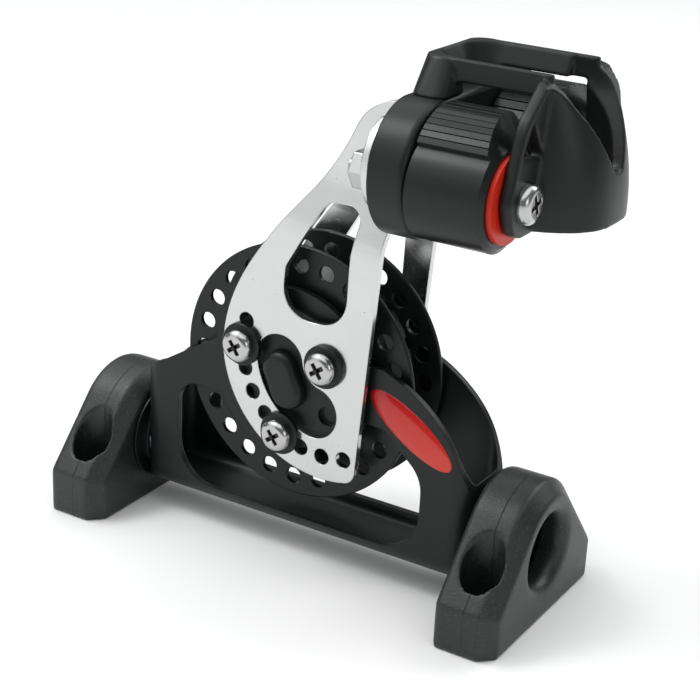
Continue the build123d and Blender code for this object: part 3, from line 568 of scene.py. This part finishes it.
crosses = 0
for side_name, outward in (("front", -1), ("rear", 1)):
    low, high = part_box("cheek_screws_" + side_name)
    crown_y = low[1] if outward < 0 else high[1]
    for angle in SCREW_ANGLES:
        x = sheave_axis.x + SCREW_CIRCLE * cos(radians(angle))
        z = sheave_axis.z + SCREW_CIRCLE * sin(radians(angle))
        place = (x, crown_y - outward * CHEEK_CROSS_BELOW, z)
        recess_cross(
            f"recess_{side_name}_{angle}",
            place,
            "X",
            CHEEK_CROSS_TURN,
            CHEEK_CROSS_LONG_MM,
            CHEEK_CROSS_WIDE_MM,
        )
        crosses += 1
crown_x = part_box("cleat_screws")[1][0]
for side_name, axis_place in (("front", cam_axis_front), ("rear", cam_axis_rear)):
    place = (crown_x - CLEAT_CROSS_BELOW, axis_place.y, axis_place.z)
    recess_cross(
        f"recess_cleat_{side_name}",
        place,
        "Y",
        CLEAT_CROSS_TURN,
        CLEAT_CROSS_LONG_MM,
        CLEAT_CROSS_WIDE_MM,
    )
    crosses += 1
print("recess crosses", crosses)

# %% [markdown]
# ## Spring pins of the cams
#
# The tail of each cam's spring is held by a small pin that shows on the cam's smooth back, close to
# the base. The pin is a short cylinder set radially, with its outer end near the surface.

# %% A pin in the back of each cam
PIN_UP = 2.3 * MM
PIN_RADIUS = 1.0 * MM
PIN_LENGTH = 1.2 * MM
PIN_AROUND = radians(118)
CAM_BACK_RADIUS = 10.4 * MM
PIN_SUNK = 0.5 * MM  # from the cam's back to the pin's middle


def cam_pin(label, cam_node, axis_place, sign, body):
    pin_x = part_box(cam_node)[0][0] + PIN_UP
    out = Vector((0, sign * cos(pi - PIN_AROUND), sin(PIN_AROUND))).normalized()
    nothing_selected()
    bpy.ops.mesh.primitive_cylinder_add(
        vertices=32, radius=PIN_RADIUS, depth=PIN_LENGTH, location=(0, 0, 0)
    )
    pin = bpy.context.object
    pin.name = label
    begin_edit()
    tilt = out.angle(Vector((0, 0, 1)))
    bpy.ops.transform.rotate(value=tilt * sign, orient_axis="X", center_override=(0, 0, 0))
    reach = CAM_BACK_RADIUS - PIN_SUNK
    place = (pin_x, axis_place.y + out.y * reach, axis_place.z + out.z * reach)
    bpy.ops.transform.translate(value=place)
    end_edit()
    give(pin, machined_steel)
    smooth_faces(pin, 40)
    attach(pin, body)


cam_pin("cam_pin_front", "cam_front", cam_axis_front, -1, "front_cam")
cam_pin("cam_pin_rear", "cam_rear", cam_axis_rear, 1, "rear_cam")
print("cam pins ready")

# %% [markdown]
# ## Floor and light
#
# The block stands on a plain pale floor. A very wide sun lights the floor evenly to white. Four soft
# lights then do what a studio's softboxes do: one high on the left for the long highlights on black
# plastic, one low on the left that shows in the bends of the arm, a fill from the right, and one
# behind for the rims.

# %% Floor, sky, a wide sun and four soft lights
FLOOR_SIZE = 6.0
FLOOR_DROP = 0.0002  # keeps the floor clear of the feet
FLOOR_WHITE = (0.92, 0.92, 0.92, 1)
SKY_WHITE = (0.95, 0.98, 1.0, 1)
SKY_STRENGTH = 0.20


def aim(light, place, target):
    bpy.context.collection.objects.link(light)
    light.location = place
    light.rotation_euler = (Vector(target) - Vector(place)).to_track_quat("-Z", "Y").to_euler()


def area_light(name, place, target, size, power):
    data = bpy.data.lights.new(name, "AREA")
    data.size = size
    data.energy = power
    aim(bpy.data.objects.new(name, data), place, target)


def wide_sun(name, place, strength, angle):
    data = bpy.data.lights.new(name, "SUN")
    data.energy = strength
    data.angle = radians(angle)
    aim(bpy.data.objects.new(name, data), place, (0, 0, 0))


nothing_selected()
bpy.ops.mesh.primitive_plane_add(size=FLOOR_SIZE, location=(0, 0, -FLOOR_DROP))
floor = bpy.context.object
floor.name = "floor"
floor_tree = Tree("floor_white")
give(floor, floor_tree.surface(Base_Color=FLOOR_WHITE, Roughness=0.8, Specular_IOR_Level=0.1))

world = bpy.data.worlds.new("studio")
bpy.context.scene.world = world
world.use_nodes = True
sky = world.node_tree.nodes["Background"]
sky.inputs["Color"].default_value = SKY_WHITE
sky.inputs["Strength"].default_value = SKY_STRENGTH
target = (0.0, 0.0, 0.055)
wide_sun("overhead", (-0.25, -0.05, 1.0), 2.25, 100)
area_light("key", (-0.34, -0.16, 0.62), target, 0.24, 1.5)
area_light("low_box", (-0.75, -1.00, 0.40), target, 0.80, 1.7)
area_light("fill", (0.70, -0.35, 0.30), target, 0.30, 0.6)
area_light("rim", (0.30, 0.50, 0.50), target, 0.40, 1.5)
bpy.context.scene.view_settings.view_transform = "Standard"
print("lights", len(bpy.data.lights))

# %% [markdown]
# ## Camera
#
# The camera looks down on the block from the front right. Its place and its two axes were fitted so
# that the block's known circles and corners line up in the view.

# %% Camera
SENSOR_MM, LENS_MM = 36.0, 87.11
CAMERA_PLACE_MM = Vector((176.53, -285.79, 182.55))
camera_data = bpy.data.cameras.new("camera")
camera_data.sensor_width = SENSOR_MM
camera_data.lens = LENS_MM
camera = bpy.data.objects.new("camera", camera_data)
bpy.context.collection.objects.link(camera)
right = Vector((0.8490, 0.5264, 0.0455))
up = Vector((-0.2347, 0.2985, 0.9251))
back = right.cross(up)
turn = Matrix((right, up, back)).transposed().to_4x4()
camera.matrix_world = Matrix.Translation(CAMERA_PLACE_MM * MM) @ turn
bpy.context.scene.camera = camera
print("camera at", [round(v, 4) for v in camera.location])
